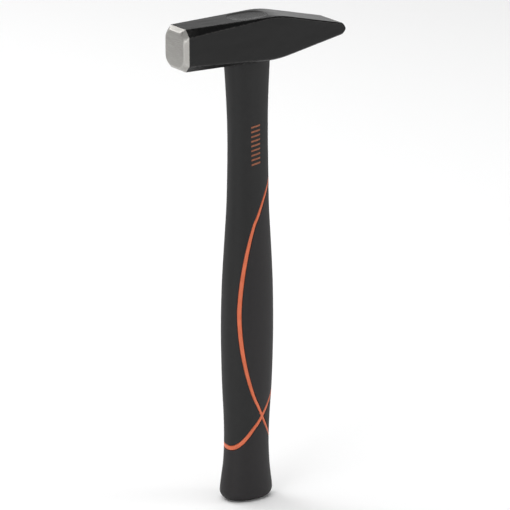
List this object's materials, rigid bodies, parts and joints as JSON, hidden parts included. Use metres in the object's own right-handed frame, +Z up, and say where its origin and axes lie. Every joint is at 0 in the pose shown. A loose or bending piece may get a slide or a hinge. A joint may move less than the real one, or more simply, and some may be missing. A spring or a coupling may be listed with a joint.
{
  "type": "cross-peen engineer's hammer",
  "caption": "Hand hammer with a square striking face, a wedge-shaped cross peen and a fibreglass-cored handle in a soft black grip with orange loops.",
  "frame": {"origin": "middle of the flat butt end, on the handle's axis", "axes": "+Z up the handle to the head, -X towards the striking face, +X towards the peen, Y across the cheeks"},
  "size_m": [0.119, 0.027, 0.3204],
  "materials": {
    "head_lacquer": "gloss black lacquer, striking face ground bright",
    "cast_resin": "cast, dull black",
    "seal_rubber": "moulded",
    "fibreglass": "pultruded, fine lengthwise fibres",
    "hard_plastic": "moulded",
    "orange_accent": "smooth moulded, satin",
    "soft_grip": "fine matt spark-eroded texture"
  },
  "bodies": {
    "root": {"hammer_head": "head_lacquer", "eye_fill": "cast_resin", "eye_seal": "seal_rubber", "fibreglass_core": "fibreglass", "core_jacket": "hard_plastic", "accent_inlay": "orange_accent", "grip_upper": "soft_grip", "grip_palm": "soft_grip", "grip_heel": "soft_grip", "grip_butt": "soft_grip"}
  },
  "joints": []
}
